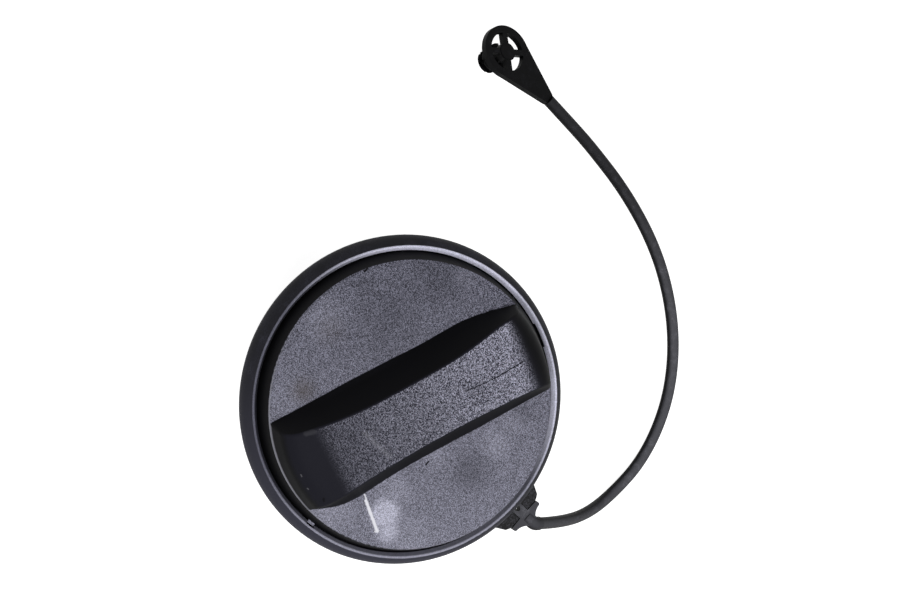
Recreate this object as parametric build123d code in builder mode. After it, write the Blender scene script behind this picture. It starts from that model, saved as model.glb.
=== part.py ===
from build123d import *
import os
from math import cos, pi, radians, sin, tan

# Screw-in fuel filler cap with a ratchet drive, tank valves and a tether.
# Millimetres, Z up. The origin is on the cap's axis in the plane of the neck
# seal, and the grip lies along X.

os.makedirs("parts", exist_ok=True)

# ---- driving dimensions: cover ---------------------------------------------
cap_r = 42.0             # widest radius of the skirt
skirt_z = 6.8            # lower edge of the skirt
widest_z = 10.4
rim_r = 39.6             # ridge of the rim
rim_z = 14.7
rim_inner_r = 38.45      # foot of the rim's inner bevel
rim_inner_z = 13.5
shelf_r = 36.6           # shelf inside the shell that the crown stands on
shelf_z = 11.0
shelf_bottom_z = 9.4
crown_foot_r = 38.1      # crown wall where it drops into the shell
crown_r = 36.75          # crown wall just below the crown's face
crown_z = 19.1           # crown face, the floor of the finger wells
grip_top_z = 30.4
wall = 2.2
foot_fillet = 0.4
ridge_radius = 0.9
# One side of the grip at the crown's face and at its top. The other side is
# the same line turned half round.
grip_foot_side = [(-42, -7.6), (-33.6, -11.2), (-28, -13.4), (-15, -13.5),
                  (10, -13.4), (30, -13.5), (42, -13.8)]
grip_top_side = [(-42, -9.0), (-25, -8.3), (0, -7.7), (25, -8.3), (42, -9.0)]
cavity_z = crown_z - wall
cavity_top_z = 27.2
rib_thickness = 1.6
rib_pitch = 14.0
key_angle = 203.7        # key that times the crown in the shell
key_width = 2.0
relief_angles = (-7.3, 2.7)

# ---- driving dimensions: closure -------------------------------------------
plug_bottom_z = -26.0
plug_bore_r = 22.6
guard_r = 23.2
guard_z = -23.4          # step that the bottom guard seats on
thread_root_r = 25.4
thread_crest_r = 28.2
thread_pitch = 6.4
thread_bottom_z = -22.4
thread_length = 12.8
pilot_r = 28.6           # smooth collar that centres in the filler neck
pilot_length = 5.0
gasket_seat_r = 27.0
gasket_r = 32.6
gasket_step = 0.6        # shoulder of the pilot collar that keeps the gasket on
gasket_top_z = 2.6
lower_flange_r = 31.6
lower_flange_z = 3.8
groove_r = 29.2          # groove that the tether ring turns in
groove_top_z = 6.4
collar_r = 32.0
flange_r = 34.6          # flange that the cover's hooks hold
flange_z = 8.0
core_top_z = 9.6
ratchet_wall_r = 33.4
ratchet_root_r = 31.6
ratchet_crest_r = 30.1
ratchet_top_z = 13.4
ratchet_teeth = 24
hook_angles = (30, 90, 150, 210, 270, 330)
hook_arc = 10.0
hook_r = 34.95           # inner face of the hook legs
hook_tip_r = 33.1
hook_bottom_z = 6.6

# ---- driving dimensions: pawl ring -----------------------------------------
pawl_bottom_z = 9.9
pawl_top_z = 13.4
pawl_hub_r = 24.2
pawl_bore_r = 20.4
pawl_arm = 1.5
pawl_angle = 15.0        # each tip stands just before a tooth's steep side
block_r = 21.8           # drive blocks under the crown
block_inner_r = 16.8
block_width = 9.0

# ---- driving dimensions: valves --------------------------------------------
housing_r = 24.2
housing_bore_r = 21.0
housing_bottom_z = -8.6
housing_floor_z = -6.4
housing_flange_z = 8.2
housing_top_z = 9.4
housing_hole_r = 11.0
o_ring_z = -3.5
o_ring_d = 1.7
o_ring_half = o_ring_d / 2 + 0.3    # half the width of its groove
seat_z = -5.6            # top of the seat bead
seat_r = 15.5
seal_thickness = 1.0
plate_z = seat_z + seal_thickness
plate_thickness = 1.2
plate_r = 19.0
plate_top_z = plate_z + plate_thickness
retainer_z = 7.4
retainer_thickness = 1.4
pressure_coil_r = 14.0
pressure_wire = 1.3
vacuum_coil_r = 3.0
vacuum_wire = 0.55
vacuum_clip_z = 1.0
stem_r = 2.0
poppet_r = 7.4
vent_r = 0.8
vent_circle_r = 4.6

# ---- driving dimensions: tether --------------------------------------------
lug_angle = -69.7        # where the tether leaves the cap
ring_bore_r = 29.6
ring_r = 33.0
ring_z = 4.0
ring_top_z = 6.0
lug_face = 46.3          # outer faces of the lug's two blocks, from the axis
lug_bottom_z = 2.8
slot_half = 1.6
head_z = 3.4
head_thickness = 2.8
neck_d = 3.6
cord_d = 3.2
neck_inside = (16.6, -44.6, 4.9)
neck_corner = (17.64, -47.48, 4.99)
cord_route = [(19.0, -48.5, 3.6), (25.0, -53.0, -2.5), (34.5, -58.5, -13.0),
              (45.0, -60.5, -21.8), (58.5, -57.0, -24.4), (70.5, -47.5, -24.4),
              (79.0, -35.5, -24.4), (84.5, -21.5, -24.4), (87.0, -6.0, -24.4),
              (86.0, 11.0, -24.4), (81.5, 27.5, -21.0), (78.0, 37.0, -18.2),
              (75.0, 45.2, -16.4)]
anchor_hub = (70.0, 61.6, -16.4)
anchor_turn = 106.95     # direction from the cord to the hub, seen from above
anchor_roll = 30.0       # the plate leans over on its push pin
anchor_r = 7.2
anchor_thickness = 1.6
anchor_length = 17.15    # from the hub to the cord
pin_length = 10.2
barb_slots = 6           # slots that make the barbs springy
barb_slot_width = 0.8


def ring(outer, inner, bottom, top):
    """A plain ring between two heights."""
    with BuildPart() as part:
        with BuildSketch(Plane.XY.offset(bottom)):
            Circle(outer)
            Circle(inner, mode=Mode.SUBTRACT)
        extrude(amount=top - bottom)
    return part.part


def turned(points):
    """A closed outline in the XZ plane turned once round the axis."""
    with BuildPart() as part:
        with BuildSketch(Plane.XZ):
            with BuildLine():
                Polyline(*points, close=True)
            make_face()
        revolve(axis=Axis.Z)
    return part.part


def coil(radius, wire, bottom, top, turns):
    """A compression spring with the wire's outside between two heights."""
    height = top - bottom - wire
    with BuildPart() as part:
        with BuildLine():
            path = Helix(pitch=height / turns, height=height, radius=radius,
                         center=(0, 0, bottom + wire / 2))
        with BuildSketch(Plane(origin=path @ 0, z_dir=path % 0)):
            Circle(wire / 2)
        sweep(path=path, is_frenet=True)
    return part.part


def save(part, name):
    part.label = name
    export_step(part, f"parts/{name}.step")


# ---- grip and crown ---------------------------------------------------------
def well_outline(side, z):
    """The space beside the grip at one height, from the points of the grip's side."""
    with BuildSketch(Plane.XY.offset(z)) as outline:
        with BuildLine():
            near = Spline(*side)
            Polyline(near @ 1, (cap_r, -cap_r - 10), (-cap_r, -cap_r - 10), near @ 0)
        make_face()
    return outline.sketch


with BuildPart() as finger_well:
    # what is cut away on one side of the grip, rounded along the grip's foot
    foot_outline = well_outline(grip_foot_side, crown_z)
    top_outline = well_outline(grip_top_side, grip_top_z + 0.1)
    loft(sections=[foot_outline, top_outline], ruled=True)
    grip_foot = finger_well.edges().filter_by_position(Axis.Z, crown_z - 0.1, crown_z + 0.1)
    fillet(grip_foot.sort_by(Axis.Y)[-1], foot_fillet)

with BuildPart() as grip_crown:
    # the round form that both ends of the grip run out to
    with BuildSketch(Plane.XZ):
        with BuildLine():
            Polyline((10, grip_top_z), (0, grip_top_z), (0, shelf_z), (crown_foot_r, shelf_z),
                     (crown_foot_r, rim_inner_z), (35.45, 23.2))
            ThreePointArc((35.45, 23.2), (33.85, 25.9), (31, 27.6))
            ThreePointArc((31, 27.6), (20.8, 29.75), (10, grip_top_z))
        make_face()
    revolve(axis=Axis.Z)
    with PolarLocations(0, 2):
        add(finger_well.part, mode=Mode.SUBTRACT)
    ridges = [e for e in grip_crown.edges() if e.center().Z > 23.4 and abs(e.center().Y) > 4]
    fillet(ridges, ridge_radius)
    # hollow behind the face and inside the grip
    with BuildSketch(Plane.XZ):
        with BuildLine():
            Polyline((0, shelf_z), (crown_foot_r - wall, shelf_z), (crown_foot_r - wall, rim_inner_z),
                     (crown_r - wall, cavity_z), (0, cavity_z), close=True)
        make_face()
    revolve(axis=Axis.Z, mode=Mode.SUBTRACT)
    with BuildSketch(Plane.XY.offset(cavity_z)) as cavity_foot:
        SlotOverall(60, 20)
    with BuildSketch(Plane.XY.offset(cavity_top_z)) as cavity_top:
        SlotOverall(48, 13)
    loft(sections=[cavity_foot.sketch, cavity_top.sketch], mode=Mode.SUBTRACT)
    # cross ribs that stiffen the grip
    for x in (-rib_pitch, 0, rib_pitch):
        with BuildSketch(Plane.YZ.offset(x)):
            with BuildLine():
                Polyline((-10.2, cavity_z), (10.2, cavity_z), (6.8, cavity_top_z + 0.3),
                         (-6.8, cavity_top_z + 0.3), close=True)
            make_face()
        extrude(amount=rib_thickness / 2, both=True)
    # rib that holds the pawl ring down, and the two blocks that drive it
    add(ring(pawl_hub_r - 0.2, pawl_hub_r - 0.2 - rib_thickness, pawl_top_z + 0.3, cavity_z + 0.3))
    with BuildSketch(Plane.XY.offset(core_top_z + 0.8)):
        with PolarLocations((block_r + block_inner_r) / 2, 2, start_angle=90):
            Rectangle(block_r - block_inner_r, block_width)
    extrude(amount=cavity_z + 0.3 - core_top_z - 0.8)
    # legs: a hook under the closure's flange, a bump under the shell's shelf
    for angle in hook_angles:
        with BuildSketch(Plane.XZ.rotated((0, 0, angle - hook_arc / 2))):
            with BuildLine():
                Polyline((hook_r, shelf_z + 3), (hook_r, flange_z - 0.2), (hook_tip_r, flange_z - 0.3),
                         (hook_tip_r, flange_z - 0.8), (hook_r + 0.4, hook_bottom_z),
                         (shelf_r - 0.2, hook_bottom_z), (shelf_r - 0.2, shelf_bottom_z - 0.9),
                         (shelf_r + 0.4, shelf_bottom_z - 0.5), (shelf_r - 0.2, shelf_bottom_z - 0.1),
                         (shelf_r - 0.2, shelf_z + 3), close=True)
            make_face()
        revolve(axis=Axis.Z, revolution_arc=hook_arc)
    # key in the shell's notch
    with Locations(Plane.XY.rotated((0, 0, key_angle)).offset(shelf_z)):
        with Locations((crown_foot_r + 0.2, 0)):
            Box(1.0, key_width, 2.6, align=(Align.CENTER, Align.CENTER, Align.MIN))
save(grip_crown.part, "grip_crown")

# ---- outer shell ------------------------------------------------------------
with BuildPart() as outer_shell:
    with BuildSketch(Plane.XZ):
        with BuildLine():
            ThreePointArc((cap_r - 0.9, skirt_z), (cap_r - 0.2, 8.6), (cap_r, widest_z))
            ThreePointArc((cap_r, widest_z), (41.3, 12.6), (rim_r + 0.3, rim_z - 0.35))
            ThreePointArc((rim_r + 0.3, rim_z - 0.35), (rim_r, rim_z), (rim_r - 0.4, rim_z - 0.1))
            Polyline((rim_r - 0.4, rim_z - 0.1), (rim_inner_r, rim_inner_z), (rim_inner_r, shelf_z),
                     (shelf_r, shelf_z), (shelf_r, shelf_bottom_z), (38.6, shelf_bottom_z - 0.4),
                     (39.4, shelf_bottom_z - 1.2), (39.2, skirt_z), (cap_r - 0.9, skirt_z))
        make_face()
    revolve(axis=Axis.Z)
    # notch for the crown's key, and a relief beside one end of the grip
    with Locations(Plane.XY.rotated((0, 0, key_angle)).offset(shelf_z)):
        with Locations((rim_inner_r + 0.1, 0)):
            Box(1.3, key_width + 0.3, 5, align=(Align.CENTER, Align.CENTER, Align.MIN), mode=Mode.SUBTRACT)
    with BuildSketch(Plane.XZ.rotated((0, 0, relief_angles[0]))):
        with Locations((rim_inner_r, shelf_z)):
            Rectangle(0.7, 3.4, align=(Align.CENTER, Align.MIN))
    revolve(axis=Axis.Z, revolution_arc=relief_angles[1] - relief_angles[0], mode=Mode.SUBTRACT)
save(outer_shell.part, "outer_shell")

# ---- threaded closure -------------------------------------------------------
pitch = 2 * pi / ratchet_teeth
with BuildPart() as closure_core:
    add(turned([(guard_r, plug_bottom_z), (thread_root_r - 0.7, plug_bottom_z),
                (thread_root_r, plug_bottom_z + 0.7), (thread_root_r, -pilot_length - 0.6),
                (pilot_r - 0.6, -pilot_length), (pilot_r, -pilot_length + 0.6), (pilot_r, 0),
                (pilot_r - gasket_step, gasket_step), (gasket_seat_r, gasket_step),
                (gasket_seat_r, gasket_top_z), (lower_flange_r, gasket_top_z),
                (lower_flange_r, lower_flange_z), (groove_r, lower_flange_z), (groove_r, groove_top_z),
                (collar_r, groove_top_z), (collar_r, flange_z), (flange_r, flange_z),
                (flange_r, core_top_z), (ratchet_wall_r, core_top_z), (ratchet_wall_r, ratchet_top_z),
                (ratchet_root_r, ratchet_top_z), (ratchet_root_r, core_top_z), (26.2, core_top_z),
                (26.2, housing_flange_z), (housing_r + 0.1, housing_flange_z),
                (housing_r + 0.1, housing_bottom_z), (plug_bore_r, housing_bottom_z),
                (plug_bore_r, guard_z), (guard_r, guard_z)]))
    # saw teeth inside the ratchet wall: steep on the side that unscrews
    with BuildSketch(mode=Mode.PRIVATE) as tooth:
        with BuildLine():
            Polyline(*[(r * cos(pitch * share), r * sin(pitch * share)) for r, share in
                       ((ratchet_root_r + 0.4, 0), (ratchet_crest_r, 0),
                        (ratchet_root_r + 0.02, 0.85), (ratchet_root_r + 0.4, 0.5))], close=True)
        make_face()
    with BuildSketch(Plane.XY.offset(core_top_z)):
        with PolarLocations(0, ratchet_teeth):
            add(tooth.sketch)
    extrude(amount=ratchet_top_z - core_top_z)
    # coarse thread on the plug
    with BuildLine(mode=Mode.PRIVATE):
        turn = Helix(pitch=thread_pitch, height=thread_length, radius=thread_root_r,
                     center=(0, 0, thread_bottom_z))
    with BuildSketch(Plane(origin=turn @ 0, x_dir=(1, 0, 0), z_dir=turn % 0)) as thread_form:
        with BuildLine():
            Polyline((-0.3, -1.9), (thread_crest_r - thread_root_r, -0.75),
                     (thread_crest_r - thread_root_r, 0.75), (-0.3, 1.9), close=True)
        make_face()
    sweep(sections=thread_form.sketch, path=turn, is_frenet=True)
save(closure_core.part, "closure_core")

# ---- neck gasket: a ring snapped over the pilot collar's shoulder ------------
save(turned([(gasket_seat_r, gasket_step), (pilot_r - gasket_step, gasket_step), (pilot_r + 0.1, 0),
             (gasket_r - 0.4, 0), (gasket_r, 0.4), (gasket_r, gasket_top_z - 0.4),
             (gasket_r - 0.4, gasket_top_z), (gasket_seat_r, gasket_top_z)]), "neck_gasket")

with BuildPart() as bottom_guard:
    # slotted disc that keeps splashing fuel off the valves
    with BuildSketch(Plane.XY.offset(guard_z - 1.8)):
        Circle(guard_r - 0.05)
        with GridLocations(5.6, 0, 7, 1):
            SlotOverall(26, 2.4, rotation=90, mode=Mode.SUBTRACT)
    extrude(amount=1.8)
save(bottom_guard.part, "bottom_guard")

# ---- pawl ring --------------------------------------------------------------
def polar(r, degrees):
    return (r * cos(radians(degrees)), r * sin(radians(degrees)))


with BuildSketch() as pawl:
    # a spring arm that rises to the ratchet wall and ends behind a tooth
    with BuildLine():
        ThreePointArc(polar(23.6, -62), polar(26.6, -30), polar(29.9, -0.6))
    trace(line_width=pawl_arm)
    with BuildLine():
        Polyline(polar(29.4, -0.6), polar(31.2, -0.6), polar(30.85, -3.0), polar(29.6, -7.5), close=True)
    make_face()

with BuildPart() as pawl_ring:
    with BuildSketch(Plane.XY.offset(pawl_bottom_z)):
        Circle(pawl_hub_r)
        Circle(pawl_bore_r, mode=Mode.SUBTRACT)
        with PolarLocations((block_r + pawl_bore_r) / 2 - 0.5, 2, start_angle=90):
            Rectangle(block_r - pawl_bore_r + 1.6, block_width + 0.4, mode=Mode.SUBTRACT)
        with PolarLocations(0, 3, start_angle=pawl_angle):
            add(pawl.sketch)
    extrude(amount=pawl_top_z - pawl_bottom_z)
save(pawl_ring.part, "pawl_ring")

# ---- valves -----------------------------------------------------------------
save(turned([(housing_hole_r, housing_bottom_z), (housing_r, housing_bottom_z),
             (housing_r, o_ring_z - o_ring_half), (housing_r + 0.1 - o_ring_d, o_ring_z - o_ring_half),
             (housing_r + 0.1 - o_ring_d, o_ring_z + o_ring_half), (housing_r, o_ring_z + o_ring_half),
             (housing_r, housing_flange_z), (26.0, housing_flange_z), (26.0, housing_top_z),
             (housing_bore_r, housing_top_z), (housing_bore_r, housing_floor_z),
             (seat_r + 0.6, housing_floor_z), (seat_r + 0.2, seat_z), (seat_r - 0.2, seat_z),
             (seat_r - 0.6, housing_floor_z), (housing_hole_r, housing_floor_z)]), "valve_housing")

with BuildPart() as housing_o_ring:
    with BuildSketch(Plane.XZ):
        with Locations((housing_r + 0.1 - o_ring_d / 2, o_ring_z)):
            Circle(o_ring_d / 2)
    revolve(axis=Axis.Z)
save(housing_o_ring.part, "housing_o_ring")

with BuildPart() as pressure_plate:
    with BuildSketch(Plane.XY.offset(plate_z)):
        Circle(plate_r)
        Circle(stem_r + 0.15, mode=Mode.SUBTRACT)
        with PolarLocations(vent_circle_r, 6):
            Circle(vent_r, mode=Mode.SUBTRACT)
    extrude(amount=plate_thickness)
    # fingers that guide the plate in the housing
    with BuildSketch(Plane.XY.offset(plate_z)):
        with PolarLocations(plate_r + 0.65, 6):
            Rectangle(2.2, 3.0)
    extrude(amount=3.4)
save(pressure_plate.part, "pressure_plate")
save(ring(seat_r + 2.1, seat_r - 2.1, seat_z, plate_z), "pressure_seal")
save(coil(pressure_coil_r, pressure_wire, plate_top_z, retainer_z, 4.5), "pressure_spring")

with BuildPart() as spring_retainer:
    with BuildSketch(Plane.XY.offset(retainer_z)):
        Circle(housing_bore_r - 0.02)
        Circle(pressure_coil_r - 2.4, mode=Mode.SUBTRACT)
        Circle(3.6)
        with PolarLocations(0, 3):
            with Locations(((pressure_coil_r - 1.2 + 3) / 2, 0)):
                Rectangle(pressure_coil_r - 1.2 - 3, 3)
    extrude(amount=retainer_thickness)
save(spring_retainer.part, "spring_retainer")

save(turned([(0, seat_z - 1.2), (poppet_r, seat_z - 1.2), (poppet_r, seat_z), (stem_r, seat_z),
             (stem_r, vacuum_clip_z + 1.2), (stem_r - 0.5, vacuum_clip_z + 1.7), (0, vacuum_clip_z + 1.7)]),
     "vacuum_poppet")
save(ring(vent_circle_r + 1.8, stem_r, seat_z, plate_z), "vacuum_seal")
save(coil(vacuum_coil_r, vacuum_wire, plate_top_z, vacuum_clip_z, 4), "vacuum_spring")
save(ring(vacuum_coil_r + 0.9, stem_r, vacuum_clip_z, vacuum_clip_z + 0.8), "vacuum_retainer")

# ---- tether -----------------------------------------------------------------
lug = Plane.XY.rotated((0, 0, lug_angle))        # X runs out through the lug

with BuildPart() as tether_ring:
    with BuildSketch(Plane.XY.offset(ring_z)):
        Circle(ring_r)
        Circle(ring_bore_r, mode=Mode.SUBTRACT)
    extrude(amount=ring_top_z - ring_z)
    # the arm, then the two thicker blocks with the slot for the head
    with BuildSketch(lug.offset(ring_z)):
        with BuildLine():
            Polyline((31, -11.5), (34.5, -9), (42, -8.2), (42, 8.2), (34.5, 9), (31, 11.5), close=True)
        make_face()
    extrude(amount=ring_top_z - ring_z)
    with BuildSketch(lug.offset(lug_bottom_z)):
        with BuildLine():
            Polyline((39, -8.2), (42.5, -7.8), (45.6, -6.2), (lug_face, -5), (lug_face, 5),
                     (45.6, 6.2), (42.5, 7.8), (39, 8.2), close=True)
        make_face()
    extrude(amount=ring_top_z - lug_bottom_z)
    with BuildSketch(lug.offset(lug_bottom_z)):
        with Locations((43, 0)):
            Rectangle(8, 2 * slot_half)
        with Locations((40, 0)):
            Rectangle(3.2, 2 * slot_half + 2.4)
    extrude(amount=ring_top_z - lug_bottom_z, mode=Mode.SUBTRACT)
save(tether_ring.part, "tether_ring")

with BuildPart() as tether_head:
    # one half of the X: the barbed prong in the slot, then the outer arm
    with BuildSketch(lug.offset(head_z)):
        with BuildLine():
            Polyline((49.6, 0), (49.6, 1.5), (49.3, 1.6))
            ThreePointArc((49.3, 1.6), (48.4, 2.7), (47.9, 4.5))
            ThreePointArc((47.9, 4.5), (47.3, 4.85), (lug_face + 0.25, 4.4))
            Polyline((lug_face + 0.25, 4.4), (lug_face + 0.15, 1.45), (41.3, 1.45), (41.3, 2.3),
                     (40.2, 1.5), (40.2, 0.9), (43.4, 0.8))
            ThreePointArc((43.4, 0.8), (44.2, 0.75), (44.9, 0))
            Line((44.9, 0), (49.6, 0))
        make_face()
        mirror(about=Plane.XZ)
    extrude(amount=head_thickness)
    with BuildLine(mode=Mode.PRIVATE):
        neck = FilletPolyline(neck_inside, neck_corner, cord_route[0], radius=2.0)
    with BuildSketch(Plane(origin=neck @ 0, z_dir=neck % 0)) as neck_section:
        Circle(neck_d / 2)
    sweep(sections=neck_section.sketch, path=neck)
save(tether_head.part, "tether_head")


def corner_radii(points):
    """The largest arcs that a polyline's corners take, 0.45 of the shorter run each."""
    radii = []
    for a, b, c in zip(points, points[1:], points[2:]):
        before, after = Vector(*b) - Vector(*a), Vector(*c) - Vector(*b)
        half_turn = radians(before.get_angle(after)) / 2
        radii.append(0.45 * min(before.length, after.length) / tan(half_turn))
    return radii


with BuildPart() as tether_cord:
    with BuildLine(mode=Mode.PRIVATE):
        cord_path = FilletPolyline(*cord_route, radius=corner_radii(cord_route))
    with BuildSketch(Plane(origin=cord_path @ 0, z_dir=cord_path % 0)) as cord_section:
        Circle(cord_d / 2)
    sweep(sections=cord_section.sketch, path=cord_path)
print("cord radii", [round(r, 1) for r in corner_radii(cord_route)], "length", round(cord_path.length, 1),
      "volume", round(tether_cord.part.volume, 1),
      "expected", round(pi * cord_d ** 2 / 4 * cord_path.length, 1))
save(tether_cord.part, "tether_cord")

anchor = Plane(origin=anchor_hub, x_dir=(cos(radians(anchor_turn)), sin(radians(anchor_turn)), 0),
               z_dir=(sin(radians(anchor_roll)) * cos(radians(anchor_turn - 90)),
                      sin(radians(anchor_roll)) * sin(radians(anchor_turn - 90)),
                      cos(radians(anchor_roll))))
with BuildPart() as tether_anchor:
    # teardrop plate, its tail running into the cord
    with BuildSketch(anchor.offset(-anchor_thickness / 2)):
        Circle(anchor_r)
        with BuildLine():
            Polyline((-1.5, anchor_r - 0.15), (-anchor_length, cord_d / 2), (-anchor_length, -cord_d / 2),
                     (-1.5, -anchor_r + 0.15), close=True)
        make_face()
        # windows between the hub's four spokes
        Circle(5.2, mode=Mode.SUBTRACT)
        Circle(2.5)
        with PolarLocations(3.85, 4, start_angle=45):
            Rectangle(3.4, 1.6)
    extrude(amount=anchor_thickness)
    # push pin: three springy barbs on a stem
    with BuildSketch(Plane(origin=anchor.origin, x_dir=anchor.z_dir, z_dir=anchor.y_dir)):
        with BuildLine():
            Polyline((0.9, 0), (0.9, 2.2), (-2.6, 2.2), (-2.9, 3.5), (-3.4, 3.5), (-4.9, 1.9), (-5.2, 3.4),
                     (-5.7, 3.4), (-7.2, 1.8), (-7.5, 3.1), (-8.0, 3.1), (-pin_length + 0.3, 1.2),
                     (-pin_length, 0.8), (-pin_length, 0), close=True)
        make_face()
    revolve(axis=Axis(anchor.origin, anchor.z_dir))
    with Locations(anchor.offset(-5.4)):
        with PolarLocations(3.2, barb_slots):
            Box(2.2, barb_slot_width, 5.8, mode=Mode.SUBTRACT)
save(tether_anchor.part, "tether_anchor")
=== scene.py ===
from math import cos, radians, sin

import bmesh
import bpy
from mathutils import Matrix, Vector


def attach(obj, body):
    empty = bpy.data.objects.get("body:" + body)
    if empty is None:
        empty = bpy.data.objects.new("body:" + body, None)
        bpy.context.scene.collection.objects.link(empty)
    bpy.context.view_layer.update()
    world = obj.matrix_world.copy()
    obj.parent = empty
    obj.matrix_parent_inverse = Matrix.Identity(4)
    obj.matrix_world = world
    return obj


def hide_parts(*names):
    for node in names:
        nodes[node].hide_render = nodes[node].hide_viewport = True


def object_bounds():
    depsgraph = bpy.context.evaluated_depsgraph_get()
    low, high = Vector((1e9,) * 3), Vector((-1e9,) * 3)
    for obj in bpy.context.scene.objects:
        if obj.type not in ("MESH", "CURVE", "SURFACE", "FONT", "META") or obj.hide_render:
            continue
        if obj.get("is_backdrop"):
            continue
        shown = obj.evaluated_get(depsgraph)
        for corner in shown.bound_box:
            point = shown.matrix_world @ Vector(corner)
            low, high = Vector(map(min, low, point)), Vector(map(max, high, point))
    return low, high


# A screw-in fuel filler cap: grained black plastic, with its tether and push pin.
# Metres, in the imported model's own frame: Z up, the grip along X.

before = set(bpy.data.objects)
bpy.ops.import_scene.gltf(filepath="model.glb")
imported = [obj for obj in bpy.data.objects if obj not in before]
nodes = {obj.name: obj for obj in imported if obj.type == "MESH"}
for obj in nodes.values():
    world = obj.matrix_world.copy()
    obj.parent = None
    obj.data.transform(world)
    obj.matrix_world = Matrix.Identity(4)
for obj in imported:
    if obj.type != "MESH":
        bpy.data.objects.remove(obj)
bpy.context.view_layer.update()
mm = 0.001
print("loaded", len(nodes), "nodes")

# The camera looks down on the cap, a little from one end of the grip.
camera = {
    "place": (-123.78 * mm, 188.33 * mm, 703.77 * mm),
    "azimuth": 130.44,      # degrees, of the line from the cap to the camera
    "elevation": 72.01,
    "roll": 112.34,
    "lens": 115.5,
    "sensor": 36,           # width in mm
    "nearest": 10 * mm,
}


def makeCamera(s):
    data = bpy.data.cameras.new("camera")
    data.lens = s["lens"]
    data.sensor_width = s["sensor"]
    data.clip_start = s["nearest"]
    view = bpy.data.objects.new("camera", data)
    bpy.context.scene.collection.objects.link(view)
    turn, tilt, roll = radians(s["azimuth"]), radians(s["elevation"]), radians(s["roll"])
    back = Vector((cos(tilt) * cos(turn), cos(tilt) * sin(turn), sin(tilt)))
    right = Vector((-sin(turn), cos(turn), 0))
    up = back.cross(right)
    right, up = right * cos(roll) + up * sin(roll), up * cos(roll) - right * sin(roll)
    axes = Matrix((right, up, back)).transposed().to_4x4()
    view.matrix_world = Matrix.Translation(s["place"]) @ axes
    bpy.context.scene.camera = view


makeCamera(camera)
print("camera placed")


# What every material uses.
def linear(hexColour):
    # sRGB hex to the linear values that Blender's sockets take
    parts = [int(hexColour[i:i + 2], 16) / 255 for i in (1, 3, 5)]
    lit = [c / 12.92 if c <= 0.04045 else ((c + 0.055) / 1.055) ** 2.4 for c in parts]
    return (*lit, 1.0)


def add(tree, kind, links=None, **settings):
    # one node: settings are its properties, or its sockets by name or number
    node = tree.nodes.new(kind)
    for key, value in settings.items():
        if hasattr(node, key):
            setattr(node, key, value)
        else:
            name = int(key[1:]) if key[0] == "_" and key[1:].isdigit() else key.replace("_", " ")
            node.inputs[name].default_value = value
    for socket, source in (links or {}).items():
        tree.links.new(source, node.inputs[socket])
    return node


def newMaterial(name):
    # the material, its tree, and the place on the piece
    material = bpy.data.materials.new(name)
    material.use_nodes = True
    tree = material.node_tree
    tree.nodes.clear()
    return material, tree, add(tree, "ShaderNodeTexCoord").outputs["Object"]


def finishMaterial(tree, links, **settings):
    shader = add(tree, "ShaderNodeBsdfPrincipled", links, **settings)
    add(tree, "ShaderNodeOutputMaterial", {"Surface": shader.outputs[0]})


def speckle(tree, place, size, low=0.35, high=0.65, detail=2.0):
    # a soft grain about as wide as size, from 0 to 1
    noise = add(tree, "ShaderNodeTexNoise", {"Vector": place}, Scale=1 / size, Detail=detail,
                Roughness=0.6).outputs["Fac"]
    return add(tree, "ShaderNodeMapRange", {"Value": noise}, From_Min=low,
               From_Max=high).outputs["Result"]


def sparkle(tree, place, size, low=0.3, high=0.8, bend=1.6):
    # small even facets about as wide as size, each with its own level from 0 to 1,
    # bent towards the dark end so that a few stand out bright
    cells = add(tree, "ShaderNodeTexVoronoi", {"Vector": place}, Scale=1 / size).outputs["Color"]
    level = add(tree, "ShaderNodeMapRange", {"Value": cells}, From_Min=low,
                From_Max=high).outputs["Result"]
    return add(tree, "ShaderNodeMath", {0: level}, operation="POWER", _1=bend).outputs[0]


def product(tree, masks):
    # several masks multiplied together
    result = masks[0]
    for other in masks[1:]:
        result = add(tree, "ShaderNodeMath", {0: result, 1: other}, operation="MULTIPLY").outputs[0]
    return result


def strongest(tree, masks):
    # the strongest of several masks at each place
    result = masks[0]
    for other in masks[1:]:
        result = add(tree, "ShaderNodeMath", {0: result, 1: other}, operation="MAXIMUM").outputs[0]
    return result


def within(tree, *ramps):
    # 1 inside a set of soft limits, each a value and where it goes from 0 to 1
    inside = []
    for value, (start, end) in ramps:
        ramp = add(tree, "ShaderNodeMapRange", {"Value": value}, interpolation_type="SMOOTHSTEP",
                   From_Min=start, From_Max=end)
        inside.append(ramp.outputs["Result"])
    return product(tree, inside)


def dress(material, *names):
    # a CAD node keeps its mesh and takes the material in its own slots
    for name in names:
        mesh = nodes[name].data
        if not mesh.materials:
            mesh.materials.append(material)
        for i in range(len(mesh.materials)):
            mesh.materials[i] = material


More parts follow.
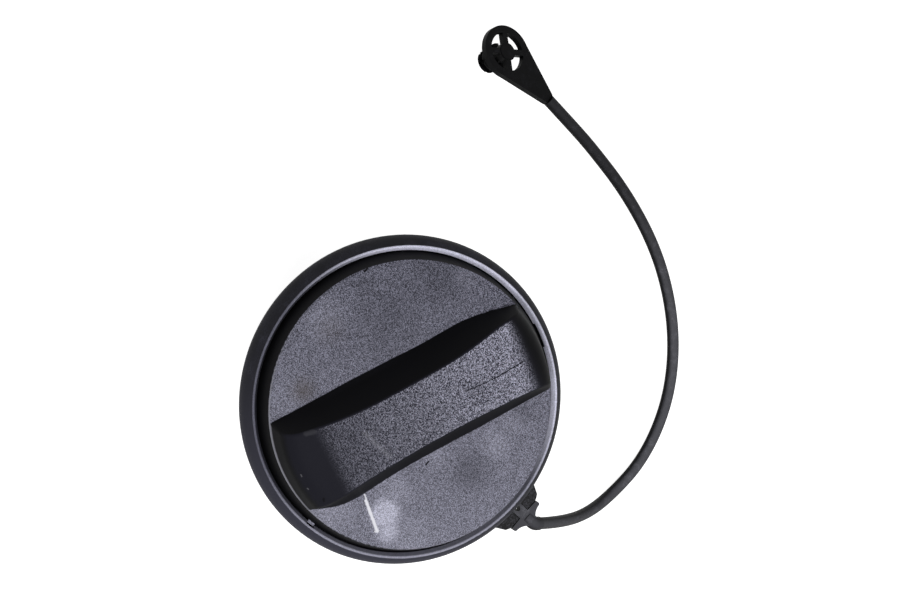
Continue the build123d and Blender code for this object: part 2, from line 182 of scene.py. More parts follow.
# Grip and crown. Places are in mm on the plan, seen from above. A scratch is (start, end,
# half width, strength) and a cloud is (centre, reach, strength).
crown = {
    "faceDark": "#16161b",       # pits of the grain on the crown's face
    "faceLight": "#8f8fa1",      # crests of the grain, painted grey with the sheen of the light
    # the grip's grain: pits, and crests painted pale with the sheen of the light
    "gripDark": "#1c1c23",
    "gripLight": "#cfcfe4",
    "wall": "#08080a",           # walls are drawn smooth and stay black
    "paleTone": "#dadaee",           # paler towards one edge and in clouds
    "stain": "#4a4238",
    "scuffAndHighlight": "#9c9ca6",         # a painted highlight along the crown's edge on one side
    "litSide": (-0.95, 0.31, 0),
    "paleMark": "#e8e8f0",
    "darkMark": "#0a0a0c",
    # the real grain is finer than these two, and is drawn as coarse as it needs to show
    "faceGrain": 0.15 * mm,
    "gripGrain": 0.17 * mm,
    "faceLevels": (0.15, 0.85),
    "gripLevels": (0.25, 0.85),
    "relief": 0.04 * mm,
    "roughness": 0.62,
    "gloss": 0.05,
    # the face grows paler along one direction, patchy and broken up by the grain
    "paleToneSide": (-0.476, -0.879, 0),
    "paleToneRun": (-32 * mm, 44 * mm),
    "paleToneMost": 0.27,
    "paleToneInPits": 0.35,
    "patch": 7 * mm,
    "patchMost": 0.06,
    # limits of the finishes, each from where it starts to where it is whole
    "wallSlope": (0.72, 0.42),   # upward part of the normal
    "topSlope": (0.86, 0.97),
    "gripFoot": (20 * mm, 22 * mm),
    # the grip's top shows its painted sheen between its ends, stronger towards the right end
    "leftEnd": (-27 * mm, -22.5 * mm),
    "rightEnd": (31.5 * mm, 26.5 * mm),
    "rightSlant": (1, -0.1, 0),
    "endWall": (28 * mm, 33 * mm),
    "palerRun": (-28 * mm, 28 * mm),
    "palerLeast": 0.2,
    "edge": (36.25 * mm, 36.5 * mm),
    "edgeRun": (22 * mm, 35 * mm),
    "edgeHeight": (18.7 * mm, 18.9 * mm),
    # how far a scratch wanders, and over what length
    "wander": 0.35 * mm,
    "wanderOver": 0.8 * mm,
    "paleScratchesAndGlint": [((-20.7, -14.2), (-21.6, -21.8), 0.2, 0.8),
                      ((-21.1, -15.8), (-22.0, -24.2), 0.38, 1.0),
                      ((-21.7, -24.2), (-22.5, -24.0), 0.26, 0.8),
                      # the next is a soft painted glint on the corner of the grip's ridge, not a
                      # scratch
                      ((-28.2, 9.2), (-26.4, 8.7), 0.6, 0.025),
                      ((-33.7, -0.3), (-33.6, 0.2), 0.14, 0.1),
                      ((-33.6, -4.1), (-33.7, -3.7), 0.14, 0.1),
                      ((-15.6, 2.8), (-12.6, -5.6), 0.6, 0.05)],
    "darkScratches": [((11.4, -0.4), (19.8, -1.2), 0.12, 0.9),
                      ((19.8, -1.2), (28.8, -1.4), 0.14, 1.0),
                      ((19.6, -1.6), (19.9, -0.8), 0.16, 1.0),
                      ((4.2, 35.9), (5.2, 36.1), 0.22, 1.0),
                      ((-3.5, -15.2), (-2.5, -14.8), 0.2, 1.0),
                      ((-31.6, -8.4), (-31.4, -7.6), 0.2, 0.8)],
    "paleClouds": [((-18.2, -21.2), 5.6, 1.3), ((-19.4, -25.4), 5.0, 0.75),
                   ((-14.0, -17.5), 7.0, 0.22), ((-0.3, -14.6), 4.5, 0.15),
                   ((15.2, -19.5), 6.5, 0.2), ((21.0, -17.0), 5.0, 0.12),
                   ((-28.0, 16.0), 10.0, 0.08), ((-30.0, -14.0), 9.0, 0.16),
                   ((-16.0, -30.0), 8.0, 0.14), ((-10.0, 31.0), 9.0, 0.14),
                   ((27.0, 22.5), 5.0, 0.1)],
    "darkClouds": [((6.0, -22.5), 8.0, 0.4), ((2.8, 32.8), 5.0, 0.3), ((4.0, 22.0), 16.0, 0.24),
                   ((20.0, 26.0), 13.0, 0.28), ((15.0, -1.0), 3.5, 0.3),
                   ((25.0, -15.5), 5.0, 0.25)],
    "stains": [((-22.7, 16.9), 5.0, 0.5), ((-10.0, 27.0), 6.0, 0.2)],
}


def makeScratch():
    # 1 along a straight scratch from Start to End, 0 away from it
    group = bpy.data.node_groups.new("scratch", "ShaderNodeTree")
    for name, kind in (("Place", "Vector"), ("Start", "Vector"), ("End", "Vector"),
                       ("Half Width", "Float"), ("Strength", "Float")):
        group.interface.new_socket(name, in_out="INPUT", socket_type="NodeSocket" + kind)
    group.interface.new_socket("Mask", in_out="OUTPUT", socket_type="NodeSocketFloat")
    given = add(group, "NodeGroupInput").outputs
    fromStart = add(group, "ShaderNodeVectorMath", {0: given["Place"], 1: given["Start"]},
                    operation="SUBTRACT").outputs[0]
    run = add(group, "ShaderNodeVectorMath", {0: given["End"], 1: given["Start"]},
              operation="SUBTRACT").outputs[0]
    along = add(group, "ShaderNodeVectorMath", {0: fromStart, 1: run},
                operation="DOT_PRODUCT").outputs["Value"]
    whole = add(group, "ShaderNodeVectorMath", {0: run, 1: run},
                operation="DOT_PRODUCT").outputs["Value"]
    share = add(group, "ShaderNodeMath", {0: along, 1: whole}, operation="DIVIDE",
                use_clamp=True).outputs[0]
    nearest = add(group, "ShaderNodeVectorMath", {0: run, "Scale": share},
                  operation="SCALE").outputs[0]
    off = add(group, "ShaderNodeVectorMath", {0: fromStart, 1: nearest},
              operation="DISTANCE").outputs["Value"]
    halves = add(group, "ShaderNodeMath", {0: off, 1: given["Half Width"]},
                 operation="DIVIDE").outputs[0]
    # soft from half of its half width to one and a half times that
    mark = add(group, "ShaderNodeMapRange", {"Value": halves, "To Max": given["Strength"]},
               interpolation_type="SMOOTHSTEP", From_Min=1.5, From_Max=0.5)
    add(group, "NodeGroupOutput", {"Mask": mark.outputs["Result"]})
    return group


def scratches(tree, group, ragged, runs):
    # the strongest of several scratches
    marks = []
    for start, end, halfWidth, strength in runs:
        mark = add(tree, "ShaderNodeGroup", node_tree=group)
        tree.links.new(ragged, mark.inputs["Place"])
        mark.inputs["Start"].default_value = (start[0] * mm, start[1] * mm, 0)
        mark.inputs["End"].default_value = (end[0] * mm, end[1] * mm, 0)
        mark.inputs["Half Width"].default_value = halfWidth * mm
        mark.inputs["Strength"].default_value = strength
        marks.append(mark.outputs[0])
    return strongest(tree, marks)


def clouds(tree, plan, spots):
    # the strongest of several round clouds, soft to their edge
    marks = []
    for centre, reach, strength in spots:
        away = add(tree, "ShaderNodeVectorMath", {0: plan}, operation="DISTANCE",
                   _1=(centre[0] * mm, centre[1] * mm, 0)).outputs["Value"]
        cloud = add(tree, "ShaderNodeMapRange", {"Value": away}, interpolation_type="SMOOTHSTEP",
                    From_Min=reach * mm, From_Max=0, To_Max=strength)
        marks.append(cloud.outputs["Result"])
    return strongest(tree, marks)


def makeCrownMaterial(s):
    # Polyamide 6 keeps the spark-eroded grain of its mould: a dull face whose light crests are
    # painted grey with the sheen of the light, on smooth black walls.
    material, tree, place = newMaterial("Polyamide, moulded with a spark-eroded grain")
    at = add(tree, "ShaderNodeSeparateXYZ", {0: place}).outputs
    plan = add(tree, "ShaderNodeVectorMath", {0: place}, operation="MULTIPLY",
               _1=(1, 1, 0)).outputs[0]
    radius = add(tree, "ShaderNodeVectorMath", {0: plan}, operation="LENGTH").outputs["Value"]
    facing = add(tree, "ShaderNodeNewGeometry").outputs["Normal"]
    up = add(tree, "ShaderNodeSeparateXYZ", {0: facing}).outputs["Z"]
    towardsPale, slantwise, aside = (
        add(tree, "ShaderNodeVectorMath", {0: plan}, operation="DOT_PRODUCT",
            _1=s[side]).outputs["Value"] for side in ("paleToneSide", "rightSlant", "litSide"))
    level = within(tree, (up, s["topSlope"]))
    onGrip = within(tree, (at["Z"], s["gripFoot"]))
    faceGrain = sparkle(tree, place, s["faceGrain"], *s["faceLevels"])
    gripGrain = sparkle(tree, place, s["gripGrain"], *s["gripLevels"])
    face = add(tree, "ShaderNodeMix", {0: faceGrain}, data_type="RGBA",
               _6=linear(s["faceDark"]), _7=linear(s["faceLight"])).outputs[2]
    # a broad paler drift towards one edge with paler clouds in it, broken up by the grain
    drift = add(tree, "ShaderNodeMapRange", {"Value": towardsPale}, From_Min=s["paleToneRun"][0],
                From_Max=s["paleToneRun"][1], To_Max=s["paleToneMost"]).outputs["Result"]
    patches = speckle(tree, place, s["patch"], 0.2, 0.8, 4.0)
    uneven = add(tree, "ShaderNodeMath", {0: patches, 2: drift}, operation="MULTIPLY_ADD",
                 _1=s["patchMost"]).outputs[0]
    paleTone = add(tree, "ShaderNodeMath", {0: uneven, 1: clouds(tree, plan, s["paleClouds"])},
               operation="ADD", use_clamp=True).outputs[0]
    broken = add(tree, "ShaderNodeMapRange", {"Value": faceGrain},
                 To_Min=s["paleToneInPits"]).outputs["Result"]
    face = add(tree, "ShaderNodeMix", {0: product(tree, [paleTone, broken]), 6: face},
               data_type="RGBA", _7=linear(s["paleTone"])).outputs[2]
    # the grip's top shows a painted sheen on its grain between its ends, stronger towards one of
    # them
    between = within(tree, (at["X"], s["leftEnd"]), (slantwise, s["rightEnd"]))
    paler = add(tree, "ShaderNodeMapRange", {"Value": at["X"]}, From_Min=s["palerRun"][0],
                From_Max=s["palerRun"][1], To_Min=s["palerLeast"]).outputs["Result"]
    grip = add(tree, "ShaderNodeMix", {0: product(tree, [between, level, paler, gripGrain])},
               data_type="RGBA", _6=linear(s["gripDark"]), _7=linear(s["gripLight"])).outputs[2]
    colour = add(tree, "ShaderNodeMix", {0: onGrip, 6: face, 7: grip}, data_type="RGBA").outputs[2]
    # marks, walls and a painted highlight on the crown's edge lie over that, each over the last
    noise = add(tree, "ShaderNodeTexNoise", {"Vector": plan}, Scale=1 / s["wanderOver"],
                Detail=2.0).outputs["Color"]
    far, half = s["wander"], s["wander"] / 2
    wandering = add(tree, "ShaderNodeVectorMath", {0: noise}, operation="MULTIPLY_ADD",
                    _1=(far, far, 0), _2=(-half, -half, 0)).outputs[0]
    ragged = add(tree, "ShaderNodeVectorMath", {0: plan, 1: wandering}, operation="ADD").outputs[0]
    scratch = makeScratch()
    layers = [
        # the grip's right end and the walls keep the plain black, without the painted sheen
        (within(tree, (at["X"], s["endWall"]), (at["Z"], s["gripFoot"])), "wall"),
        (clouds(tree, plan, s["darkClouds"]), "faceDark"),
        (clouds(tree, plan, s["stains"]), "stain"),
        (scratches(tree, scratch, ragged, s["paleScratchesAndGlint"]), "paleMark"),
        (scratches(tree, scratch, ragged, s["darkScratches"]), "darkMark"),
        (within(tree, (up, s["wallSlope"])), "wall"),
        (within(tree, (radius, s["edge"]), (aside, s["edgeRun"]), (at["Z"], s["edgeHeight"])),
         "scuffAndHighlight"),
    ]
    for cover, name in layers:
        colour = add(tree, "ShaderNodeMix", {0: cover, 6: colour}, data_type="RGBA",
                     _7=linear(s[name])).outputs[2]
    height = add(tree, "ShaderNodeMix", {0: onGrip, 2: speckle(tree, place, s["faceGrain"]),
                                         3: speckle(tree, place, s["gripGrain"])}).outputs[0]
    bump = add(tree, "ShaderNodeBump", {"Height": product(tree, [height, level])}, Strength=0.6,
               Distance=s["relief"])
    finishMaterial(tree, {"Base Color": colour, "Normal": bump.outputs[0]},
                   Roughness=s["roughness"], IOR=1.53, Specular_IOR_Level=s["gloss"])
    return material


foot = {
    # how far the foot of the grip's far side is drawn in, against X, in mm
    "drawnIn": [(0.0, 0.0), (8.0, 0.35), (14.0, 0.5), (18.9, 0.75), (22.8, 1.25), (26.9, 1.6),
                (31.0, 1.25), (34.0, 0.6), (36.0, 0.3)],
    "side": 8.0,             # the far side starts at this Y
    "low": 18.8,             # nothing moves below this height
    "full": 19.8,            # drawn in wholly up to here, and then less and less up to high
    "high": 28.0,
    "reach": 36.55,          # the crown's edge is past this radius, and stays
    "merge": 0.001,          # corners closer than this become one
    "sharp": 28,             # degrees, past which an edge stays sharp
}


def makeGripCrown(s, material):
    # the grip and crown again, with the foot of the far side straighter at one end
    mesh = nodes["grip_crown"].data.copy()
    joined = bmesh.new()
    joined.from_mesh(mesh)
    bmesh.ops.remove_doubles(joined, verts=joined.verts, dist=s["merge"] * mm)
    joined.to_mesh(mesh)
    joined.free()
    for vertex in mesh.vertices:
        x, y, z = (c / mm for c in vertex.co)
        if y < s["side"] or not s["low"] < z < s["high"] or Vector((x, y)).length > s["reach"]:
            continue
        for (before, least), (after, most) in zip(s["drawnIn"], s["drawnIn"][1:]):
            if before <= x < after:
                share = (x - before) / (after - before)
                inward = least + (most - least) * share
                fading = min(1, (s["high"] - z) / (s["high"] - s["full"]))
                vertex.co.y -= inward * fading * mm
    mesh.attributes.remove(mesh.attributes["custom_normal"])
    mesh.shade_smooth()
    mesh.set_sharp_from_angle(angle=radians(s["sharp"]))
    mesh.materials.clear()
    mesh.materials.append(material)
    piece = bpy.data.objects.new("gripCrownStraight", mesh)
    bpy.context.scene.collection.objects.link(piece)
    # flat faces stay flat beside the small roundings
    weighted = piece.modifiers.new("weighted", "WEIGHTED_NORMAL")
    weighted.keep_sharp = True
    shown = piece.evaluated_get(bpy.context.evaluated_depsgraph_get())
    piece.data = bpy.data.meshes.new_from_object(shown)
    piece.modifiers.clear()
    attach(piece, "cover")
    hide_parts("grip_crown")


makeGripCrown(foot, makeCrownMaterial(crown))
print("crown done")


# Outer shell.
shell = {
    "satin": "#252529",
    "satinLitAndDusty": "#3c3c46",      # the skirt's dusty patches, and its lit side as a painted sheen
    "litSide": (-0.85, -0.53, 0),
    "bevel": "#e2e2f6",          # painted highlight on the rim's inner bevel, at its brightest
    # the dimmer painted highlight, on the bevel's ridge away from the brightest side
    "bevelShade": "#6e6e7c",
    # the bevel carries a painted highlight round one side and a weaker one round a second; a run is
    # the cosine of the angle from that side, from where the highlight starts to where it is whole
    "highlightSide": (0.948, 0.319, 0),
    "highlightRun": (-0.15, 0.75),
    "secondHighlightSide": (-0.3, -0.954, 0),
    "secondRun": (0.1, 0.9),
    "secondMost": 0.36,
    "bevelRim": (39.85 * mm, 39.6 * mm),
    "bevelFoot": (13.0 * mm, 13.4 * mm),
    "ridge": (38.9 * mm, 39.25 * mm),
    # the real grain is finer, and is drawn as coarse as it needs to show
    "grain": 0.2 * mm,
    "grainLevels": (0.1, 0.7),
    "grainLeast": 0.7,           # how pale the bevel's pits are, against its crests
    "dust": 5 * mm,
    "relief": 0.015 * mm,
    "roughness": 0.6,
    "gloss": 0.05,
}


def makeShellMaterial(s):
    # Polyamide moulded satin is black, with a painted lavender-grey highlight on its rim's inner
    # bevel.
    material, tree, place = newMaterial("Polyamide, moulded satin")
    at = add(tree, "ShaderNodeSeparateXYZ", {0: place}).outputs
    plan = add(tree, "ShaderNodeVectorMath", {0: place}, operation="MULTIPLY",
               _1=(1, 1, 0)).outputs[0]
    radius = add(tree, "ShaderNodeVectorMath", {0: plan}, operation="LENGTH").outputs["Value"]
    outward = add(tree, "ShaderNodeVectorMath", {0: plan}, operation="NORMALIZE").outputs[0]
    first, second, aside = (
        add(tree, "ShaderNodeVectorMath", {0: outward}, operation="DOT_PRODUCT",
            _1=s[side]).outputs["Value"] for side in ("highlightSide", "secondHighlightSide", "litSide"))
    some = add(tree, "ShaderNodeMath", {0: within(tree, (second, s["secondRun"]))},
               operation="MULTIPLY", _1=s["secondMost"]).outputs[0]
    highlightMask = strongest(tree, [within(tree, (first, s["highlightRun"])), some])
    highlightColour = add(tree, "ShaderNodeMix", {0: highlightMask}, data_type="RGBA",
                   _6=linear(s["bevelShade"]), _7=linear(s["bevel"])).outputs[2]
    # away from those sides only the bevel's ridge carries a thin painted highlight
    onBevel = within(tree, (radius, s["bevelRim"]), (at["Z"], s["bevelFoot"]))
    ridge = strongest(tree, [highlightMask, within(tree, (radius, s["ridge"]))])
    grain = sparkle(tree, place, s["grain"], *s["grainLevels"])
    grainy = add(tree, "ShaderNodeMapRange", {"Value": grain},
                 To_Min=s["grainLeast"]).outputs["Result"]
    # the skirt is dusty in patches, and paler on one side as a painted sheen
    dusty = product(tree, [speckle(tree, place, s["dust"], 0.4, 0.8, 5.0), grain])
    paler = strongest(tree, [within(tree, (aside, (0.0, 1.0))), dusty])
    skirt = add(tree, "ShaderNodeMix", {0: paler}, data_type="RGBA",
                _6=linear(s["satin"]), _7=linear(s["satinLitAndDusty"])).outputs[2]
    colour = add(tree, "ShaderNodeMix", {0: product(tree, [onBevel, ridge, grainy]), 6: skirt,
                                         7: highlightColour}, data_type="RGBA").outputs[2]
    bump = add(tree, "ShaderNodeBump", {"Height": grain}, Strength=0.2, Distance=s["relief"])
    finishMaterial(tree, {"Base Color": colour, "Normal": bump.outputs[0]},
                   Roughness=s["roughness"], IOR=1.53, Specular_IOR_Level=s["gloss"])
    return material


dress(makeShellMaterial(shell), "outer_shell")
print("shell done")


# Tether cord, a free length held by the cap's ring at one end and its anchor at the other.
cord = {
    "diameter": 3.2 * mm,
    "length": 166.4 * mm,
    "steps": 12,             # straight pieces between two points of the route
    "roundness": 6,
    # in mm, from the head on the cap's ring, down to the floor, along it and up to the anchor
    "route": [(19.0, -48.5, 3.6), (25.0, -53.0, -2.5), (34.5, -58.5, -13.0),
              (45.0, -60.5, -21.8), (58.5, -57.0, -24.4), (70.5, -47.5, -24.4),
              (79.0, -35.5, -24.4), (84.5, -21.5, -24.4), (87.0, -6.0, -24.4),
              (86.0, 11.0, -24.4), (81.5, 27.5, -21.0), (78.0, 37.0, -18.2),
              (75.0, 45.2, -16.4)],
}


def makeCord(s, material):
    curve = bpy.data.curves.new("tetherCordRun", "CURVE")
    curve.dimensions = "3D"
    curve.bevel_depth = s["diameter"] / 2
    curve.bevel_resolution = s["roundness"]
    curve.use_fill_caps = True
    line = curve.splines.new("NURBS")
    line.points.add(len(s["route"]) - 1)
    for point, place in zip(line.points, s["route"]):
        point.co = (*(c * mm for c in place), 1)
    line.order_u = 3
    line.use_endpoint_u = True
    line.resolution_u = s["steps"]
    piece = bpy.data.objects.new("tetherCordRun", curve)
    bpy.context.scene.collection.objects.link(piece)
    curve.materials.append(material)
    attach(piece, "tether")
    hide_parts("tether_cord")


tether = {
    # an elastomer piece's sides, its upper side painted lighter as light from above would make it,
    # and its scuffs
    "cord": {"side": "#040405", "top": "#515156", "scuff": "#7a7a82", "roughness": 0.5},
    "head": {"side": "#040405", "top": "#46464b", "scuff": "#74747b", "roughness": 0.55},
    "anchor": {"side": "#020203", "top": "#060607", "scuff": "#45454b", "roughness": 0.5},
    # from the first Y to the second, towards the anchor, the painted light on the upper sides
    # fades, a painted falloff of the light
    "paintedLightFade": (-28 * mm, 14 * mm),
    "leastPaintedLight": 0.25,
    "upperSlope": (0.4, 1.0),    # upward part of the normal
    "scuffSize": 2.2 * mm,
    "fineGrain": 0.3 * mm,
    "rougher": 0.15,             # how much rougher a scuff is
    "elastomerGloss": 0.06,
    "ring": "#09090a",
    # the greyer colour of the ring's upper faces
    "ringUpperGrey": "#34343a",
    "ringGrain": 0.3 * mm,       # finer in truth, and drawn as coarse as it needs to show
    "ringTop": (0.6, 0.95),
    "ringRoughness": 0.5,
    "ringGloss": 0.12,
    "relief": 0.02 * mm,
}


def makeElastomer(name, s, piece):
    # A thermoplastic elastomer is softly matt, its upper side painted lighter as light from above
    # would make it and less so towards the anchor, with pale scuffed patches there.
    material, tree, place = newMaterial(name)
    facing = add(tree, "ShaderNodeNewGeometry").outputs["Normal"]
    up = add(tree, "ShaderNodeSeparateXYZ", {0: facing}).outputs["Z"]
    along = add(tree, "ShaderNodeSeparateXYZ", {0: place}).outputs["Y"]
    less = add(tree, "ShaderNodeMapRange", {"Value": along}, From_Min=s["paintedLightFade"][0],
               From_Max=s["paintedLightFade"][1], To_Min=1.0, To_Max=s["leastPaintedLight"]).outputs["Result"]
    # painted light: the upper faces lighter, fading towards the anchor
    paintedTopLight = product(tree, [within(tree, (up, s["upperSlope"])), less])
    scuffAndHighlight = speckle(tree, place, s["scuffSize"], 0.5, 0.78, 5.0)
    fine = speckle(tree, place, s["fineGrain"])
    colours = s[piece]
    shade = add(tree, "ShaderNodeMix", {0: paintedTopLight}, data_type="RGBA", _6=linear(colours["side"]),
                _7=linear(colours["top"])).outputs[2]
    shade = add(tree, "ShaderNodeMix", {0: product(tree, [scuffAndHighlight, fine, paintedTopLight]), 6: shade},
                data_type="RGBA", _7=linear(colours["scuff"])).outputs[2]
    rough = add(tree, "ShaderNodeMapRange", {"Value": scuffAndHighlight}, To_Min=colours["roughness"],
                To_Max=colours["roughness"] + s["rougher"]).outputs["Result"]
    bump = add(tree, "ShaderNodeBump", {"Height": fine}, Strength=0.3, Distance=s["relief"])
    finishMaterial(tree, {"Base Color": shade, "Roughness": rough, "Normal": bump.outputs[0]},
                   IOR=1.5, Specular_IOR_Level=s["elastomerGloss"])
    return material


def makeRingPlastic(s):
    # Polypropylene moulded satin: black, a little waxy, greyed on its upper faces.
    material, tree, place = newMaterial("Polypropylene, moulded satin")
    facing = add(tree, "ShaderNodeNewGeometry").outputs["Normal"]
    up = add(tree, "ShaderNodeSeparateXYZ", {0: facing}).outputs["Z"]
    grain = sparkle(tree, place, s["ringGrain"])
    top = product(tree, [within(tree, (up, s["ringTop"])), grain])
    shade = add(tree, "ShaderNodeMix", {0: top}, data_type="RGBA", _6=linear(s["ring"]),
                _7=linear(s["ringUpperGrey"])).outputs[2]
    bump = add(tree, "ShaderNodeBump", {"Height": grain}, Strength=0.2, Distance=s["relief"])
    finishMaterial(tree, {"Base Color": shade, "Normal": bump.outputs[0]},
                   Roughness=s["ringRoughness"], IOR=1.49, Specular_IOR_Level=s["ringGloss"])
    return material


cordElastomer = makeElastomer("TPE, extruded", tether, "cord")
# the head's grey top is painted light, with scuffs on it
dress(makeElastomer("TPE, moulded, scuffed, with painted top light", tether, "head"), "tether_head")
dress(makeElastomer("TPE, moulded", tether, "anchor"), "tether_anchor")
dress(makeRingPlastic(tether), "tether_ring")
makeCord(cord, cordElastomer)
print("tether done")


# Closure: the threaded core, its guard and its seals.
closure = {
    "core": "#141417",
    "coreFibre": "#2c2c31",
    # the fibres and the rubber's grain are finer, and are drawn as coarse as they need to show
    "fibre": 0.5 * mm,
    "fibrePull": 5,              # how many times as long as wide a flow mark is, along Z
    "corePatch": 6 * mm,
    "coreRelief": 0.02 * mm,
    "coreRoughness": (0.38, 0.52),
    "rubber": "#0d0d0e",
    "rubberBloom": "#242426",
    "bloomPatch": 3 * mm,
    "rubberGrain": 0.2 * mm,
    "rubberRelief": 0.01 * mm,
    "rubberRoughness": (0.5, 0.8),
    "gloss": 0.3,
}


def makeCoreMaterial(s):
    # Glass-filled polyamide is moulded black, with a faint grey flow of fibres at its skin.
    material, tree, place = newMaterial("Glass-filled polyamide, moulded")
    flow = add(tree, "ShaderNodeMapping", {0: place}, Scale=(1, 1, 1 / s["fibrePull"])).outputs[0]
    fibres = speckle(tree, flow, s["fibre"], 0.5, 0.8, 3.0)
    patches = speckle(tree, place, s["corePatch"], 0.3, 0.7, 3.0)
    shade = add(tree, "ShaderNodeMix", {0: product(tree, [fibres, patches])}, data_type="RGBA",
                _6=linear(s["core"]), _7=linear(s["coreFibre"])).outputs[2]
    rough = add(tree, "ShaderNodeMapRange", {"Value": patches}, To_Min=s["coreRoughness"][0],
                To_Max=s["coreRoughness"][1]).outputs["Result"]
    bump = add(tree, "ShaderNodeBump", {"Height": fibres}, Strength=0.15, Distance=s["coreRelief"])
    finishMaterial(tree, {"Base Color": shade, "Roughness": rough, "Normal": bump.outputs[0]},
                   IOR=1.53, Specular_IOR_Level=s["gloss"])
    return material


def makeRubber(s):
    # Nitrile rubber is pressed in a polished mould and blooms grey with age.
    material, tree, place = newMaterial("Nitrile rubber, moulded")
    bloom = speckle(tree, place, s["bloomPatch"], 0.45, 0.85, 4.0)
    fine = speckle(tree, place, s["rubberGrain"])
    shade = add(tree, "ShaderNodeMix", {0: bloom}, data_type="RGBA", _6=linear(s["rubber"]),
                _7=linear(s["rubberBloom"])).outputs[2]
    rough = add(tree, "ShaderNodeMapRange", {"Value": bloom}, To_Min=s["rubberRoughness"][0],
                To_Max=s["rubberRoughness"][1]).outputs["Result"]
    bump = add(tree, "ShaderNodeBump", {"Height": fine}, Strength=0.2, Distance=s["rubberRelief"])
    finishMaterial(tree, {"Base Color": shade, "Roughness": rough, "Normal": bump.outputs[0]},
                   IOR=1.52, Specular_IOR_Level=s["gloss"])
    return material


dress(makeCoreMaterial(closure), "closure_core", "bottom_guard")
dress(makeRubber(closure), "neck_gasket", "housing_o_ring", "pressure_seal", "vacuum_seal")
print("closure done")


# Valve pieces.
valves = {
    "acetal": "#e4e1d6",
    "acetalShade": "#d3cdbd",
    "acetalPatch": 4 * mm,
    "acetalGrain": 0.4 * mm,
    "acetalRelief": 0.01 * mm,
    "acetalRoughness": (0.3, 0.42),
    "acetalDepth": 1.0 * mm,     # how far light goes in
    "rolled": {"colour": "#b6b4af", "roughness": 0.28},
    "drawn": {"colour": "#8f8c87", "roughness": 0.34},
    # the real lines are finer, and are drawn as coarse as they need to show
    "line": 0.12 * mm,
    "linePull": 25,              # how many times as long as wide a line is, along Y
    "lineRelief": 0.005 * mm,
    "lineShade": 0.88,
    "rougher": 0.15,
}


def makeAcetal(s):
    # Natural acetal is moulded milky white and lets a little light in.
    material, tree, place = newMaterial("Acetal, moulded")
    patches = speckle(tree, place, s["acetalPatch"], 0.3, 0.7, 3.0)
    shade = add(tree, "ShaderNodeMix", {0: patches}, data_type="RGBA", _6=linear(s["acetal"]),
                _7=linear(s["acetalShade"])).outputs[2]
    rough = add(tree, "ShaderNodeMapRange", {"Value": patches}, To_Min=s["acetalRoughness"][0],
                To_Max=s["acetalRoughness"][1]).outputs["Result"]
    bump = add(tree, "ShaderNodeBump", {"Height": speckle(tree, place, s["acetalGrain"])},
               Strength=0.1, Distance=s["acetalRelief"])
    finishMaterial(tree, {"Base Color": shade, "Roughness": rough, "Normal": bump.outputs[0]},
                   IOR=1.48, Subsurface_Weight=0.15, Subsurface_Scale=s["acetalDepth"])
    return material


def makeSteel(name, s, piece):
    # Steel keeps the fine straight lines of the roll or the drawing die.
    material, tree, place = newMaterial(name)
    pulled = add(tree, "ShaderNodeMapping", {0: place}, Scale=(1, 1 / s["linePull"], 1)).outputs[0]
    lines = speckle(tree, pulled, s["line"], 0.3, 0.7, 3.0)
    least = s[piece]["roughness"]
    rough = add(tree, "ShaderNodeMapRange", {"Value": lines}, To_Min=least,
                To_Max=least + s["rougher"]).outputs["Result"]
    tone = add(tree, "ShaderNodeMapRange", {"Value": lines}, To_Min=s["lineShade"],
               To_Max=1.0).outputs["Result"]
    shade = add(tree, "ShaderNodeMix", {7: tone}, data_type="RGBA", blend_type="MULTIPLY", _0=1.0,
                _6=linear(s[piece]["colour"])).outputs[2]
    bump = add(tree, "ShaderNodeBump", {"Height": lines}, Strength=0.1, Distance=s["lineRelief"])
    finishMaterial(tree, {"Base Color": shade, "Roughness": rough, "Normal": bump.outputs[0]},
                   Metallic=1.0)
    return material


dress(makeAcetal(valves), "pawl_ring", "valve_housing", "spring_retainer", "vacuum_poppet")
dress(makeSteel("Stainless steel, rolled and stamped", valves, "rolled"), "pressure_plate")
dress(makeSteel("Spring steel, drawn", valves, "drawn"),
      "pressure_spring", "vacuum_spring", "vacuum_retainer")
print("valves done")


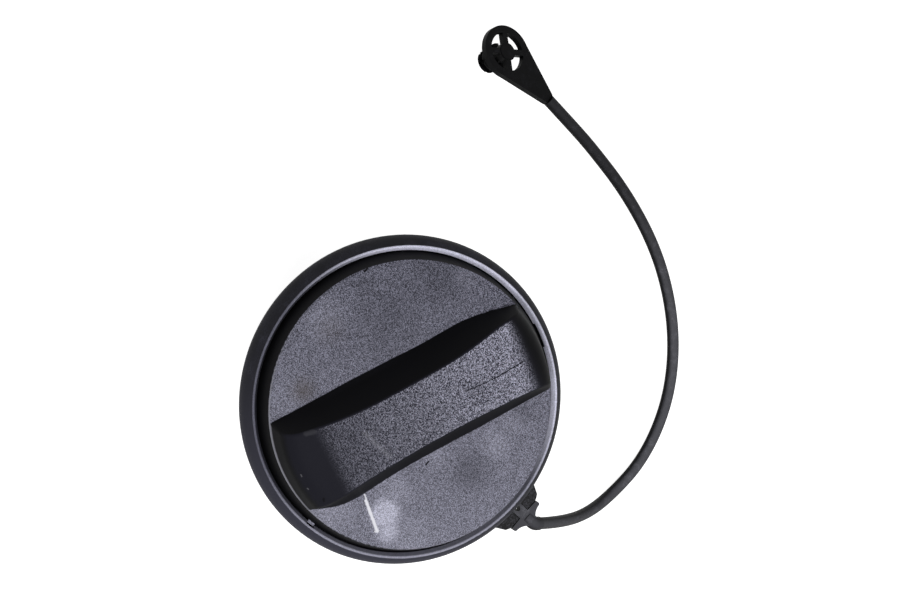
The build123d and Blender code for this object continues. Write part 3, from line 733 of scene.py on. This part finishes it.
# Floor, world and lamps. Azimuths are degrees in plan, leans are degrees off the vertical,
# and the rest is in metres and watts.
studio = {
    "floorSize": 6.0,
    "floorColour": "#c8c8c8",
    "floorGlow": 0.94,           # seen by the camera and in mirrors, besides the lit colour
    "world": 0.12,
    "lamps": {
        "softbox": {"azimuth": -40, "lean": 24, "away": 0.75, "size": 0.6, "power": 2.2},
        "key": {"azimuth": 194, "lean": 21, "away": 0.9, "size": 0.3, "power": 4.4},
    },
}


def makeLamp(name, s):
    lamp = bpy.data.lights.new(name, "AREA")
    lamp.size = s["size"]
    lamp.energy = s["power"]
    box = bpy.data.objects.new(name, lamp)
    bpy.context.scene.collection.objects.link(box)
    lean, side = radians(s["lean"]), radians(s["azimuth"])
    aim = Vector((sin(lean) * cos(side), sin(lean) * sin(side), cos(lean)))
    box.location = aim * s["away"]
    box.rotation_euler = aim.to_track_quat("Z", "Y").to_euler()


def seen(tree):
    # 1 for what the camera sees, also in mirrors and through glass
    ray = add(tree, "ShaderNodeLightPath").outputs
    return strongest(tree, [ray["Is Camera Ray"], ray["Is Glossy Ray"], ray["Is Transmission Ray"]])


def makeStudio(s):
    world = bpy.data.worlds.new("studio")
    world.use_nodes = True
    tree = world.node_tree
    strength = add(tree, "ShaderNodeMapRange", {"Value": seen(tree)}, To_Min=s["world"])
    background = tree.nodes["Background"]
    background.inputs["Color"].default_value = (1, 1, 1, 1)
    tree.links.new(strength.outputs["Result"], background.inputs["Strength"])
    bpy.context.scene.world = world
    half, level = s["floorSize"] / 2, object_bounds()[0][2]
    mesh = bpy.data.meshes.new("floor")
    corners = ((-half, -half), (half, -half), (half, half), (-half, half))
    mesh.from_pydata([(*corner, level) for corner in corners], [], [(0, 1, 2, 3)])
    floor = bpy.data.objects.new("floor", mesh)
    bpy.context.scene.collection.objects.link(floor)
    # matt paper glows for the camera alone, so it looks white and still takes the shadow
    paper, tree = newMaterial("Paper, matt")[:2]
    glow = add(tree, "ShaderNodeMath", {0: seen(tree)}, operation="MULTIPLY", _1=s["floorGlow"])
    finishMaterial(tree, {"Emission Strength": glow.outputs[0]},
                   Base_Color=linear(s["floorColour"]), Emission_Color=(1, 1, 1, 1),
                   Roughness=1.0, Specular_IOR_Level=0.0)
    mesh.materials.append(paper)
    floor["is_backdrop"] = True
    for name, lamp in s["lamps"].items():
        makeLamp(name, lamp)


makeStudio(studio)
bpy.context.scene.view_settings.view_transform = "Standard"
